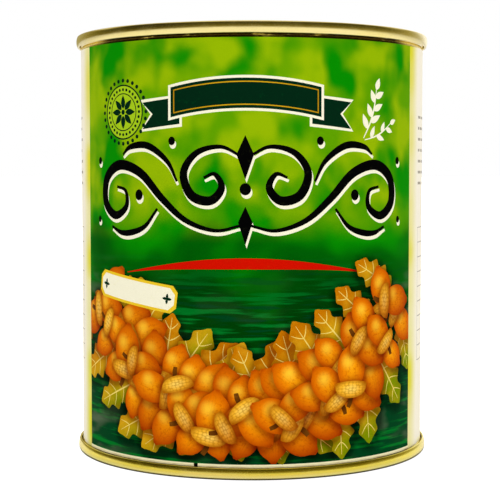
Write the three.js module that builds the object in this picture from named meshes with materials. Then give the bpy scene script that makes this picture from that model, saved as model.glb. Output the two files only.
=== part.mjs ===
// A full 850 ml food can: a round tinplate body with two double-seamed ends, a paper label
// wrapped round it and small chanterelles packed inside.
// Millimetres, +Z up, the origin under the middle of the can, the label's front towards -Y.
import * as THREE from "three";

// driving dimensions
const canHeight = 119.5; // over both seams
const bodyRadius = 49.6; // outside of the plain cylinder
const seamRadius = 51.1; // outside of the double seams
const seamHeight = 3.1;
const sheet = 0.2; // tinplate
const sheetGap = 0.15; // room between the layers of a seam
const crownBend = 0.45; // bends at the top of a seam, on the sheet's middle line
const hookLength = 1.55; // straight part of the body's hook
const neckLength = 0.5; // height over which the body widens to its flange
const panelDepth = 3.3; // centre panel of an end, below the crown of its seam
const panelRadius = 46.3;
const countersinkDepth = 4.3;
const ringRadii = [22, 34]; // expansion rings pressed in the panel
const ringDepth = 0.5;
const ringHalfWidth = 1.7;
const ringSlope = 0.9; // width of a ring's sloping side
const labelPaper = 0.12;
const labelGap = 0.05; // between the paper and what it lies on
const labelBottom = 3.45;
const labelTop = 115.45;
const lapSide = 12; // the facet where the label begins, counted from the front towards +X
const mushroomCount = 38;
const mushroomCap = 13.2; // radius of an average cap
const mushroomHeight = 31;
const mushroomGap = 0.5; // clearance between the contents
const ballFit = 0.95; // the balls that stand for a mushroom cover it with this much of their size
const shakeRounds = 3000;
const calmRounds = 1500; // without sinking, to part what still touches
const sinkStep = 0.12; // how far each mushroom drops in a round
const sides = 40; // facets of every round piece, all in phase so that the gaps hold

// middle lines of the five layers of a seam, from the inside out
const layerPitch = sheet + sheetGap;
const seamingWall = seamRadius - sheet / 2;
const bodyHook = seamingWall - layerPitch;
const endHook = bodyHook - layerPitch;
const bodyFlange = endHook - layerPitch;
const chuckWall = bodyFlange - layerPitch;
const foldDepth = sheet + sheetGap + sheet / 2 + layerPitch; // centre of the body's fold

// the room left for the contents
const roomRadius = (bodyRadius - sheet) * Math.cos(Math.PI / sides) - mushroomGap;
const roomFloor = countersinkDepth + sheet / 2 + mushroomGap;
const roomCeiling = canHeight - roomFloor;

const finishes = {
  tinplate: new THREE.MeshStandardMaterial({ color: 0xd8c078, roughness: 0.32, metalness: 1 }),
  compound: new THREE.MeshStandardMaterial({ color: 0x5b5c58, roughness: 0.7, metalness: 0 }),
  paper: new THREE.MeshStandardMaterial({ color: 0x4f8f1c, roughness: 0.45, metalness: 0 }),
  chanterelle: new THREE.MeshStandardMaterial({ color: 0xdc8a2a, roughness: 0.6, metalness: 0 }),
};

const can = new THREE.Group();

function addPiece(name, geometry, material) {
  const piece = new THREE.Mesh(geometry, material);
  piece.name = name;
  can.add(piece);
  return piece;
}

// points of an arc about [radius, depth], between two angles in degrees
function arc(centre, bend, from, to, steps) {
  const points = [];
  for (let i = 0; i <= steps; i++) {
    const turn = THREE.MathUtils.degToRad(from + ((to - from) * i) / steps);
    points.push([centre[0] + bend * Math.cos(turn), centre[1] + bend * Math.sin(turn)]);
  }
  return points;
}

// the closed outline of a sheet that follows a middle line, mitred at its corners
function sheetOutline(line, thickness) {
  const left = [];
  const right = [];
  line.forEach((point, i) => {
    const before = line[Math.max(i - 1, 0)];
    const after = line[Math.min(i + 1, line.length - 1)];
    const first = new THREE.Vector2(point[0] - before[0], point[1] - before[1]);
    const second = new THREE.Vector2(after[0] - point[0], after[1] - point[1]);
    if (i === 0) first.copy(second);
    if (i === line.length - 1) second.copy(first);
    first.normalize();
    second.normalize();
    const along = first.clone().add(second).normalize();
    const reach = thickness / 2 / along.dot(first);
    left.push([point[0] - along.y * reach, point[1] + along.x * reach]);
    right.unshift([point[0] + along.y * reach, point[1] - along.x * reach]);
  });
  return [...left, ...right];
}

// turns a closed outline of [radius, height] round the Z axis
function turned(outline) {
  const area = outline.reduce((sum, [r, z], i) => {
    const [r2, z2] = outline[(i + 1) % outline.length];
    return sum + r * z2 - r2 * z;
  }, 0);
  const loop = area > 0 ? [...outline] : [...outline].reverse();
  loop.push(loop[0]);
  const points = loop.map(([r, z]) => new THREE.Vector2(Math.max(r, 0), z));
  return new THREE.LatheGeometry(points, sides).rotateX(Math.PI / 2);
}

// an end's middle line as [radius, depth below the crown], from the axis to the end hook's tip
function endLine() {
  const line = [[0, panelDepth]];
  for (const radius of ringRadii) {
    line.push([radius - ringHalfWidth, panelDepth]);
    line.push([radius - ringHalfWidth + ringSlope, panelDepth + ringDepth]);
    line.push([radius + ringHalfWidth - ringSlope, panelDepth + ringDepth]);
    line.push([radius + ringHalfWidth, panelDepth]);
  }
  const sinkRadius = (panelRadius + chuckWall - 0.5) / 2;
  line.push([panelRadius, panelDepth]);
  line.push([sinkRadius - 0.7, countersinkDepth - 0.1]);
  line.push([sinkRadius + 0.3, countersinkDepth]);
  line.push([chuckWall - 0.6, countersinkDepth - 0.6]);
  line.push([chuckWall, seamHeight - 0.7]);
  const crown = sheet / 2 + crownBend;
  line.push(...arc([chuckWall + crownBend, crown], crownBend, 180, 270, 2));
  line.push(...arc([seamingWall - crownBend, crown], crownBend, 270, 360, 2));
  line.push(...arc([bodyHook, seamHeight - sheet / 2 - layerPitch], layerPitch, 0, 180, 4));
  line.push([endHook, foldDepth + 0.4]);
  return line;
}

function makeEnd(name, isTop) {
  const outline = sheetOutline(endLine(), sheet);
  const placed = outline.map(([r, depth]) => [r, isTop ? canHeight - depth : depth]);
  addPiece(name, turned(placed), finishes.tinplate);
}

// the body's middle line at one end, from its hook's tip in to the plain cylinder
function flangeLine() {
  return [
    [bodyHook, foldDepth + hookLength],
    ...arc([endHook, foldDepth], layerPitch, 0, -180, 4),
    [bodyFlange, seamHeight - 0.2],
    [bodyRadius - sheet / 2, seamHeight - 0.2 + neckLength],
  ];
}

function makeBody() {
  const bottom = flangeLine();
  const top = flangeLine().map(([r, depth]) => [r, canHeight - depth]).reverse();
  addPiece("can_body", turned(sheetOutline([...bottom, ...top], sheet)), finishes.tinplate);
}

// sealing compound that fills the hollow between the end hook's tip and the body's fold
function makeSeal(name, isTop) {
  const near = foldDepth - 0.08;
  const far = foldDepth + 0.22;
  const outline = [
    [endHook - 0.14, near],
    [endHook + 0.14, near],
    [endHook + 0.14, far],
    [endHook - 0.14, far],
  ];
  const placed = outline.map(([r, depth]) => [r, isTop ? canHeight - depth : depth]);
  addPiece(name, turned(placed), finishes.compound);
}

// one sheet wrapped once round the body, whose end laps over its first facet
function makeLabel() {
  const inner = [];
  const outer = [];
  const inside = bodyRadius + labelGap;
  for (let i = 0; i <= sides + 1; i++) {
    const turn = ((i + lapSide) * 2 * Math.PI) / sides;
    const radius = inside + (i >= sides ? labelPaper + labelGap : 0);
    const place = (r) => new THREE.Vector2(r * Math.sin(turn), -r * Math.cos(turn));
    inner.push(place(radius));
    outer.unshift(place(radius + labelPaper));
  }
  const section = new THREE.Shape([...outer, ...inner]);
  const depth = labelTop - labelBottom;
  const label = new THREE.ExtrudeGeometry(section, { depth, bevelEnabled: false });
  addPiece("label", label, finishes.paper).position.z = labelBottom;
}

// a repeatable stream of numbers from 0 to 1
function randomFrom(seed) {
  let state = seed;
  return () => {
    state = (state + 0x6d2b79f5) | 0;
    let mixed = Math.imul(state ^ (state >>> 15), 1 | state);
    mixed = (mixed + Math.imul(mixed ^ (mixed >>> 7), 61 | mixed)) ^ mixed;
    return ((mixed ^ (mixed >>> 14)) >>> 0) / 4294967296;
  };
}

const random = randomFrom(31);
const between = (low, high) => low + (high - low) * random();

// a small chanterelle about its own middle: thick stem, decurrent ridges, domed wavy cap
function mushroomGeometry(scale) {
  const around = 10;
  const stem = between(0.46, 0.54);
  const cap = mushroomCap * scale;
  const height = mushroomHeight * scale * between(0.92, 1.06);
  const lean = between(0.1, 0.4) * cap;
  const leanTurn = between(0, 2 * Math.PI);
  const lobes = between(0, 2 * Math.PI);
  const wave = between(0.02, 0.05);
  const outline = [
    [stem * 0.72, 0.02],
    [stem, 0.14],
    [stem * 0.94, 0.34],
    [stem * 1.2, 0.47],
    [0.84, 0.54],
    [1.0, 0.66],
    [0.86, 0.86],
    [0.45, 0.98],
  ];
  const ridged = (row) => row === 3 || row === 4;
  const inCap = (row) => row >= 4;
  const positions = [];
  const addPoint = (x, y, z) => {
    const bend = lean * z * z;
    positions.push(x + bend * Math.cos(leanTurn), y + bend * Math.sin(leanTurn), (z - 0.5) * height);
  };
  addPoint(0, 0, 0);
  outline.forEach(([radius, z], row) => {
    for (let i = 0; i < around; i++) {
      const turn = (i * 2 * Math.PI) / around;
      const ridge = ridged(row) ? 1 + 0.06 * (i % 2 ? 1 : -1) : 1;
      const lobe = inCap(row) ? wave * Math.sin(3 * turn + lobes) : 0;
      const r = radius * cap * ridge * (1 + lobe);
      const rise = inCap(row) ? 0.5 * wave * radius * Math.sin(2 * turn - lobes) : 0;
      addPoint(r * Math.cos(turn), r * Math.sin(turn), z + rise);
    }
  });
  addPoint(0, 0, 0.965);
  const last = positions.length / 3 - 1;
  const faces = [];
  for (let i = 0; i < around; i++) {
    const next = (i + 1) % around;
    faces.push(0, 1 + next, 1 + i);
    for (let row = 0; row < outline.length - 1; row++) {
      const low = 1 + row * around;
      const high = low + around;
      faces.push(low + i, low + next, high + next, low + i, high + next, high + i);
    }
    faces.push(last, last - around + i, last - around + next);
  }
  const geometry = new THREE.BufferGeometry();
  geometry.setAttribute("position", new THREE.Float32BufferAttribute(positions, 3));
  geometry.setIndex(faces);
  geometry.computeVertexNormals();
  return geometry;
}

// balls that cover a mushroom: down the stem, in the middle of the cap and round its rim
function coveringBalls(geometry) {
  geometry.computeBoundingBox();
  const { min, max } = geometry.boundingBox;
  const height = max.z - min.z;
  const reach = (max.x - min.x + max.y - min.y) / 4;
  const leanX = (min.x + max.x) / 2;
  const leanY = (min.y + max.y) / 2;
  const balls = [];
  const addRing = (count, radius, z) => {
    for (let i = 0; i < count; i++) {
      const turn = (i * 2 * Math.PI) / count;
      const x = leanX * z * z + radius * reach * Math.cos(turn);
      const y = leanY * z * z + radius * reach * Math.sin(turn);
      balls.push({ centre: new THREE.Vector3(x, y, min.z + z * height), radius: 0 });
    }
  };
  for (const z of [0.17, 0.3, 0.44]) addRing(1, 0, z);
  addRing(4, 0.25, 0.76);
  addRing(11, 0.64, 0.7);
  const point = new THREE.Vector3();
  const cover = () => {
    let nearest = balls[0];
    for (const ball of balls)
      if (ball.centre.distanceTo(point) < nearest.centre.distanceTo(point)) nearest = ball;
    nearest.radius = Math.max(nearest.radius, ballFit * nearest.centre.distanceTo(point));
  };
  const corners = geometry.attributes.position;
  const faces = geometry.index;
  const corner = new THREE.Vector3();
  for (let i = 0; i < corners.count; i++) {
    point.fromBufferAttribute(corners, i);
    cover();
  }
  for (let i = 0; i < faces.count; i += 3) {
    point.set(0, 0, 0);
    for (let k = 0; k < 3; k++) point.add(corner.fromBufferAttribute(corners, faces.getX(i + k)));
    point.divideScalar(3);
    cover();
  }
  return balls;
}

function throwIn() {
  const geometry = mushroomGeometry(between(0.9, 1.1));
  const shape = coveringBalls(geometry);
  const far = 0.75 * roomRadius * Math.sqrt(random());
  const way = between(0, 2 * Math.PI);
  const up = between(roomFloor + 10, roomCeiling - 10);
  return {
    geometry,
    shape,
    balls: shape.map(() => ({ at: new THREE.Vector3(), radius: 0 })),
    reach: Math.max(...shape.map((ball) => ball.centre.length() + ball.radius)),
    size: 1,
    place: new THREE.Vector3(far * Math.cos(way), far * Math.sin(way), up),
    turn: new THREE.Quaternion(
      between(-1, 1), between(-1, 1), between(-1, 1), between(-1, 1)).normalize(),
  };
}

function moveBalls({ shape, balls, size, place, turn }) {
  balls.forEach((ball, i) => {
    ball.at.copy(shape[i].centre).multiplyScalar(size).applyQuaternion(turn).add(place);
    ball.radius = shape[i].radius * size;
  });
}

// moves a mushroom until the pushed point has gone that far, letting it turn as it gives way
function push(mushroom, point, direction, distance) {
  const twist = point.clone().sub(mushroom.place).cross(direction);
  const stiffness = 0.4 * mushroom.reach ** 2;
  const give = distance / (1 + twist.lengthSq() / stiffness);
  const angle = (twist.length() * give) / stiffness;
  const spin = new THREE.Quaternion().setFromAxisAngle(twist.normalize(), angle);
  mushroom.place.addScaledVector(direction, give);
  mushroom.turn.premultiply(spin).normalize();
  moveBalls(mushroom);
}

// parts two mushrooms where they are deepest in each other
function separate(one, other) {
  if (one.place.distanceTo(other.place) > one.reach + other.reach) return;
  let deepest = { depth: 0 };
  for (const a of one.balls)
    for (const b of other.balls) {
      const depth = a.radius + b.radius + mushroomGap - a.at.distanceTo(b.at);
      if (depth > deepest.depth) deepest = { depth, a, b };
    }
  if (!deepest.depth) return;
  const { depth, a, b } = deepest;
  const direction = a.at.clone().sub(b.at).normalize();
  const meeting = a.at.clone().addScaledVector(direction, -a.radius);
  push(one, meeting, direction, depth / 2);
  push(other, meeting, direction.negate(), depth / 2);
}

// how far a ball is through the can's wall, floor and ceiling, each with the way back in
const walls = [
  ({ at, radius }) => [
    Math.hypot(at.x, at.y) + radius - roomRadius,
    new THREE.Vector3(-at.x, -at.y, 0).normalize(),
  ],
  ({ at, radius }) => [roomFloor - at.z + radius, new THREE.Vector3(0, 0, 1)],
  ({ at, radius }) => [at.z + radius - roomCeiling, new THREE.Vector3(0, 0, -1)],
];

function confine(mushroom) {
  for (const wall of walls) {
    let deepest = { depth: 0 };
    for (const ball of mushroom.balls) {
      const [depth, inwards] = wall(ball);
      if (depth > deepest.depth) deepest = { depth, inwards, ball };
    }
    if (!deepest.depth) continue;
    const { depth, inwards, ball } = deepest;
    push(mushroom, ball.at.clone().addScaledVector(inwards, -ball.radius), inwards, depth);
  }
}

// chanterelles thrown in at random, grown to size and shaken down until none touches another
function makeContents() {
  const mushrooms = Array.from({ length: mushroomCount }, throwIn);
  for (let round = 0; round < shakeRounds + calmRounds; round++) {
    for (const mushroom of mushrooms) {
      mushroom.size = Math.min(1, 0.4 + (0.7 * round) / shakeRounds);
      if (round < shakeRounds) mushroom.place.z -= sinkStep;
      moveBalls(mushroom);
      confine(mushroom);
    }
    mushrooms.forEach((one, i) => mushrooms.slice(i + 1).forEach((other) => separate(one, other)));
  }
  mushrooms.forEach(({ geometry, place, turn }, i) => {
    const name = "chanterelle_" + String(i + 1).padStart(2, "0");
    const mushroom = addPiece(name, geometry, finishes.chanterelle);
    mushroom.position.copy(place);
    mushroom.quaternion.copy(turn);
  });
}

makeBody();
makeEnd("top_end", true);
makeEnd("bottom_end", false);
makeSeal("top_seal", true);
makeSeal("bottom_seal", false);
makeLabel();
makeContents();

export default can;
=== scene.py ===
import random
from math import atan2, ceil, cos, degrees, exp, hypot, pi, radians, sin, tan

import bmesh
import bpy
import numpy as np
from mathutils import Matrix, Vector, noise
from mathutils.geometry import delaunay_2d_cdt


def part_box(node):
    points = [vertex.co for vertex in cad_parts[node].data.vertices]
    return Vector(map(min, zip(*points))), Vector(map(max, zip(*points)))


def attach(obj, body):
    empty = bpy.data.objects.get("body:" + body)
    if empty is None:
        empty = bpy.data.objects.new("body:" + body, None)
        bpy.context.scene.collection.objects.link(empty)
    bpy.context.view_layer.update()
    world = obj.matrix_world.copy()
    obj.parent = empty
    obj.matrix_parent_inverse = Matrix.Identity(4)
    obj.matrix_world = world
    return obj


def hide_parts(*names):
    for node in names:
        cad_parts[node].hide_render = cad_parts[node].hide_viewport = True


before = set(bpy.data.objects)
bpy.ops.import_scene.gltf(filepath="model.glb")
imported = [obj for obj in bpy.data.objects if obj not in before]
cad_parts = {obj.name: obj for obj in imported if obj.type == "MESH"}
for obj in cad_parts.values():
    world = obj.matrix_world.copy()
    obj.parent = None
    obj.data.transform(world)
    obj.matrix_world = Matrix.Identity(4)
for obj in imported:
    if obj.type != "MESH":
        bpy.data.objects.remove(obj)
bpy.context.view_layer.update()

mm = 0.001  # lengths below are in millimetres, and meshes in metres
white = (1.0, 1.0, 1.0)
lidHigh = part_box("top_end")[1]
paperLow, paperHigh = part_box("label")


def oval(halfWidth, halfHeight, count):
    turns = [2 * pi * i / count for i in range(count)]
    return [(halfWidth * cos(t), halfHeight * sin(t)) for t in turns]


def block(left, bottom, right, top):
    return [(left, bottom), (right, bottom), (right, top), (left, top)]


def bothSides(line, asides):
    # the closed outline of a line that is as wide at each point as it is given
    left = [point + aside for point, aside in zip(line, asides)]
    return left + [point - aside for point, aside in zip(line, asides)][::-1]


def isSocket(value):
    return isinstance(value, bpy.types.NodeSocket)


def fill(node, inputs):
    # links the sockets and sets the plain values that its inputs are given
    for name, value in inputs.items():
        socket = node.inputs[name]
        if isSocket(value):
            node.id_data.links.new(value, socket)
        else:
            socket.default_value = (*value, 1.0) if socket.type == "RGBA" else value


def addNode(tree, kind, inputs=None, **settings):
    made = tree.nodes.new(kind)
    for name, value in settings.items():
        setattr(made, name, value)
    fill(made, inputs or {})
    return made


def follow(kind, inputs, **settings):
    # what comes out of a node added after the first socket it is given
    tree = next(value.id_data for value in inputs.values() if isSocket(value))
    return addNode(tree, kind, inputs, **settings).outputs


def maths(operation, *values, clamp=False):
    return follow("ShaderNodeMath", dict(enumerate(values)), operation=operation, use_clamp=clamp)[0]


def times(first, *others):
    for other in others:
        first = maths("MULTIPLY", first, other)
    return first


def xyz(vector):
    return follow("ShaderNodeSeparateXYZ", {0: vector})


def lengthOf(vector):
    return follow("ShaderNodeVectorMath", {0: vector}, operation="LENGTH")["Value"]


def scaled(vector, factor):
    return follow("ShaderNodeVectorMath", {0: vector, "Scale": factor}, operation="SCALE")[0]


def ease(value, low, high, start=0.0, end=1.0):
    spread = {"Value": value, "From Min": low, "From Max": high, "To Min": start, "To Max": end}
    return follow("ShaderNodeMapRange", spread, interpolation_type="SMOOTHSTEP")[0]


def mix(share, below, above, blend="MIX"):
    # its colours go in at 6 and 7 and come out at 2
    inputs = {0: share, 6: below, 7: above}
    return follow("ShaderNodeMix", inputs, data_type="RGBA", blend_type=blend)[2]


def stretched(vector, scale, turn=0.0):
    inputs = {"Vector": vector, "Scale": scale, "Rotation": (0.0, 0.0, turn)}
    return follow("ShaderNodeMapping", inputs)[0]


def noiseOn(vector, scale, detail=2.0, roughness=0.5, turn=0.0):
    # a scale for each axis stretches the pattern, and it can then be turned
    if isinstance(scale, tuple):
        vector, scale = stretched(vector, scale, turn), 1.0
    inputs = {"Vector": vector, "Scale": scale, "Detail": detail, "Roughness": roughness}
    return follow("ShaderNodeTexNoise", inputs)[0]


def rampOf(value, stops, interpolation="LINEAR"):
    ramp = addNode(value.id_data, "ShaderNodeValToRGB", {0: value})
    ramp.color_ramp.interpolation = interpolation
    elements = ramp.color_ramp.elements
    while len(elements) < len(stops):
        elements.new(1.0)
    for element, (place, colour) in zip(elements, stops):
        element.position = place
        element.color = (*colour, 1.0)
    return ramp.outputs[0]


def newMaterial(name):
    material = bpy.data.materials.new(name)
    material.use_nodes = True
    tree = material.node_tree
    return material, tree, tree.nodes["Principled BSDF"]


def objectPlace(tree):
    return addNode(tree, "ShaderNodeTexCoord").outputs["Object"]


def addBump(shader, *layers):
    # layers of (height socket, strength, distance), the coarsest first
    normal = {}
    for height, strength, distance in layers:
        inputs = {"Height": height, "Strength": strength, "Distance": distance, **normal}
        normal = {"Normal": follow("ShaderNodeBump", inputs)[0]}
    fill(shader, normal)


def newObject(name, content):
    made = bpy.data.objects.new(name, content)
    bpy.context.scene.collection.objects.link(made)
    return made


def newShapeTree(name, **inputs):
    # a Geometry Nodes tree and what comes out of its group input
    tree = bpy.data.node_groups.new(name, "GeometryNodeTree")
    for key, kind in inputs.items():
        tree.interface.new_socket(key, in_out="INPUT", socket_type="NodeSocket" + kind)
    tree.interface.new_socket("shape", in_out="OUTPUT", socket_type="NodeSocketGeometry")
    return tree, addNode(tree, "NodeGroupInput").outputs


def endShapeTree(shape, finish):
    smooth = follow("GeometryNodeSetShadeSmooth", {"Geometry": shape})[0]
    whole = follow("GeometryNodeRealizeInstances", {"Geometry": smooth})[0]
    painted = follow("GeometryNodeSetMaterial", {"Geometry": whole, "Material": finish})[0]
    follow("NodeGroupOutput", {0: painted})


def shaped(name, blank, tree, **inputs):
    # a blank mesh put through a shape tree, as a plain mesh whose faces point outwards
    source = newObject(blank.name, blank)
    modifier = source.modifiers.new(tree.name, "NODES")
    modifier.node_group = tree
    for item in tree.interface.items_tree:
        if item.name in inputs:
            modifier[item.identifier] = inputs[item.name]
    graph = bpy.context.evaluated_depsgraph_get()
    mesh = bpy.data.meshes.new_from_object(source.evaluated_get(graph))
    mesh.name = name
    bpy.data.objects.remove(source)
    shape = bmesh.new()
    shape.from_mesh(mesh)
    if shape.calc_volume(signed=True) < 0:
        bmesh.ops.reverse_faces(shape, faces=shape.faces)
    shape.to_mesh(mesh)
    shape.free()
    return newObject(name, mesh)


view = {
    "eye": (-0.53, -406.16, 80.09),
    "pitch": 3.1727,  # degrees below the horizon
    "lens": 98.95,
    "sensor": 36.0,
}


def makeCamera():
    lens = bpy.data.cameras.new("viewCamera")
    lens.lens = view["lens"]
    lens.sensor_width = view["sensor"]
    eye = newObject("viewCamera", lens)
    eye.location = Vector(view["eye"]) * mm
    eye.rotation_euler = (radians(90 - view["pitch"]), 0, 0)
    bpy.context.scene.camera = eye


studio = {
    "floorSize": 60.0,  # metres
    "floorDrop": 0.06,
    "floorColour": (0.9, 0.9, 0.9),
    "floorShade": (0.05, 0.045, 0.03),
    "floorRoughness": 0.7,
    "floorGlow": 0.2,  # as the can finds it, while the camera finds it white
    "shadeTo": 51.2,  # for the can it is dark underneath, up to this far out
    "glowFrom": 51.9,
    "backFrom": 130.0,  # and it darkens again this far behind the can
    "backTo": 420.0,
    "backGlow": 0.8,
    "diffuseLevel": 0.64,
    "profile": [  # what polished metal sees at each elevation, in degrees
        (-90, 0.95), (-17, 0.88), (-10, 0.79), (-3, 0.54), (5, 0.26), (13, 0.135), (22, 0.08),
        (34, 0.06), (48, 0.06), (60, 0.55), (74, 1.0), (90, 1.1)],
    "darkTint": (1.0, 0.84, 0.12),  # of the dimmest parts of that
    "tintTo": (0.05, 0.9),
}

sky = {  # each with an axis of the direction, where its ease starts and ends, and its levels there
    "behind": ("Y", 0.15, 0.8, 0.0, 1.0),
    "back": ("Z", 0.35, 0.65, 0.42, 0.30),  # seen behind the can, low down and high up
    "nearRight": ("X", -0.1, 0.2, 1.0, 2.7),  # times that just right of straight behind
    "farRight": ("X", 0.35, 0.75, 1.0, 0.42),  # and times again further right
    "left": ("X", -0.4, -0.9, 0.0, 0.5),  # kept off the left side
    "leftUp": ("Z", -0.3, 0.1, 0.3, 1.0),  # most of it high up
    "high": ("Z", 0.28, 0.5, 0.0, 1.0),
    "highBehind": ("Y", 0.1, 0.5, 0.0, 0.75),
}


def makeFloor():
    bpy.context.scene.view_settings.view_transform = "Standard"  # so that white paper stays white
    half = studio["floorSize"] / 2
    mesh = bpy.data.meshes.new("paleFloor")
    mesh.from_pydata([(*corner, 0) for corner in block(-half, -half, half, half)], [], [range(4)])
    floor = newObject("paleFloor", mesh)
    floor.location.z = -studio["floorDrop"] * mm
    material, tree, shader = newMaterial("paleFloor")
    place = objectPlace(tree)
    near = ease(lengthOf(place), studio["shadeTo"] * mm, studio["glowFrom"] * mm)
    front = ease(xyz(place)["Y"], studio["backTo"] * mm, studio["backFrom"] * mm, studio["backGlow"])
    lit = times(near, front)
    seen = addNode(tree, "ShaderNodeLightPath").outputs["Is Camera Ray"]
    fill(shader, {
        "Base Color": mix(lit, studio["floorShade"], studio["floorColour"]),
        "Emission Strength": maths("MAXIMUM", times(lit, studio["floorGlow"]), seen),
        "Emission Color": white,
        "Roughness": studio["floorRoughness"],
    })
    mesh.materials.append(material)


def makeStudioLight():
    world = bpy.data.worlds.new("studioLight")
    bpy.context.scene.world = world
    world.use_nodes = True
    tree = world.node_tree
    tree.nodes.clear()
    parts = xyz(addNode(tree, "ShaderNodeTexCoord").outputs["Generated"])
    level = {name: ease(parts[axis], *span) for name, (axis, *span) in sky.items()}
    brightest = max(light for angle, light in studio["profile"])
    stops = [((sin(radians(angle)) + 1) / 2, (light / brightest,) * 3)
             for angle, light in studio["profile"]]
    seen = times(rampOf(maths("MULTIPLY_ADD", parts["Z"], 0.5, 0.5), stops), brightest)
    back = times(level["back"], level["nearRight"], level["farRight"])
    seen = maths("MULTIPLY_ADD", maths("SUBTRACT", back, seen), level["behind"], seen)
    seen = times(seen, maths("SUBTRACT", 1.0, times(level["left"], level["leftUp"])))
    seen = maths("MAXIMUM", seen, times(level["high"], level["highBehind"]))
    tint = mix(ease(seen, *studio["tintTo"]), studio["darkTint"], white)
    rays = addNode(tree, "ShaderNodeLightPath").outputs
    colour = mix(rays["Is Glossy Ray"], (studio["diffuseLevel"],) * 3, scaled(tint, seen))
    colour = mix(rays["Is Camera Ray"], colour, white)
    light = follow("ShaderNodeBackground", {"Color": colour})[0]
    follow("ShaderNodeOutputWorld", {"Surface": light})


softBoxes = {  # place and size in metres, power in watts
    "keyPanel": ((-0.9, -1.3, 1.1), 1.0, 7.0),
    "fillPanel": ((1.1, -1.0, 0.7), 0.9, 5.0),
    "backPanel": ((0.2, 1.5, 1.2), 1.2, 9.0),
}


def makeSoftBoxes():
    aim = Vector((0, 0, can["height"] / 2 * mm))
    for name, (place, size, power) in softBoxes.items():
        lamp = bpy.data.lights.new(name, "AREA")
        lamp.shape = "SQUARE"
        lamp.size = size
        lamp.energy = power
        holder = newObject(name, lamp)
        holder.location = place
        holder.rotation_euler = (aim - holder.location).to_track_quat("-Z", "Y").to_euler()
        holder.visible_glossy = False
        holder.visible_camera = False


makeCamera()
print("camera made")

can = {
    "height": lidHigh.z / mm,
    "seamRadius": lidHigh.x / mm,
    "seamHeight": 3.1,
    "bodyRadius": 49.6,
    "sheet": 0.2,
    "sheetGap": 0.15,
    "pinch": 0.2,  # how far the body is drawn in just inside the seam
    "neckLength": 1.05,
    "sides": 224,
    "unevenness": 0.05,
    "unevenScale": 70.0,
    "sharpFrom": 50,  # degrees
}

pitch = can["sheet"] + can["sheetGap"]
wall = can["seamRadius"] - can["sheet"] / 2

seam = {  # the middle lines of its five layers, from the outside in
    "wall": wall,
    "bodyHook": wall - pitch,
    "endHook": wall - 2 * pitch,
    "flange": wall - 3 * pitch,
    "chuckWall": wall - 4 * pitch,
    "crownBend": 0.45,
    "shoulderBend": 0.4,
    "barrel": 3.6,  # the outer wall bulges to this radius of curvature
    "waistRise": 0.06,  # and is fullest this far above its middle
    "barrelDepths": [0.6 + 0.2 * k for k in range(11)],
    "footBend": 0.17,
    "fold": can["sheet"] * 1.5 + can["sheetGap"] + pitch,  # depth of the body's fold
    "foldBend": 0.33,
    "hookRoom": 0.03,
    "hookLength": 1.55,
}

lid = {
    "panelDepth": 3.3,
    "panelRadius": 46.3,
    "panelBend": 1.0,
    "dish": 0.12,  # the middle stands this much proud of the panel's rim
    "ringRadii": (22.0, 34.0),
    "ringDepth": 0.5,
    "ringHalfWidth": 1.7,
    "ringSlope": 0.9,
    "ringBend": 1.4,
    "sinkDepth": 4.3,
    "sinkCorners": ((-0.7, -0.02, 0.6), (0.5, 0.0, 0.7)),  # steps out and down from its middle, and bends
    "wallFoot": (-0.45, -0.45, 1.2),  # the same, from the foot of the chuck wall
    "wallTop": (1.3, 1.8),  # depth and bend
}


def rounded(corners, step=14.0):
    # corners are (radius, depth, bend), and an arc of that bend rounds each one
    line = []
    for i, (radius, depth, bend) in enumerate(corners):
        here = Vector((radius, depth))
        if bend == 0 or i in (0, len(corners) - 1):
            line.append(here)
            continue
        before = (Vector(corners[i - 1][:2]) - here).normalized()
        after = (Vector(corners[i + 1][:2]) - here).normalized()
        half = before.angle(after) / 2
        middle = (before + after).normalized() * (bend / sin(half))  # of the arc, from here
        start = before * (bend / tan(half)) - middle
        end = after * (bend / tan(half)) - middle
        sweep = atan2(start.x * end.y - start.y * end.x, start.dot(end))
        count = max(2, ceil(abs(degrees(sweep)) / step))
        for k in range(count + 1):
            line.append(here + middle + Matrix.Rotation(sweep * k / count, 2) @ start)
    return line


def sheetOutline(line):
    # the line of a sheet's middle, thickened and mitred at its corners
    steps = [(b - a).normalized() for a, b in zip(line, line[1:])]
    asides = []
    for first, second in zip(steps[:1] + steps, steps + steps[-1:]):
        along = (first + second).normalized()
        asides.append(Vector((-along.y, along.x)) * (can["sheet"] / 2 / along.dot(first)))
    return bothSides(line, asides)


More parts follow.
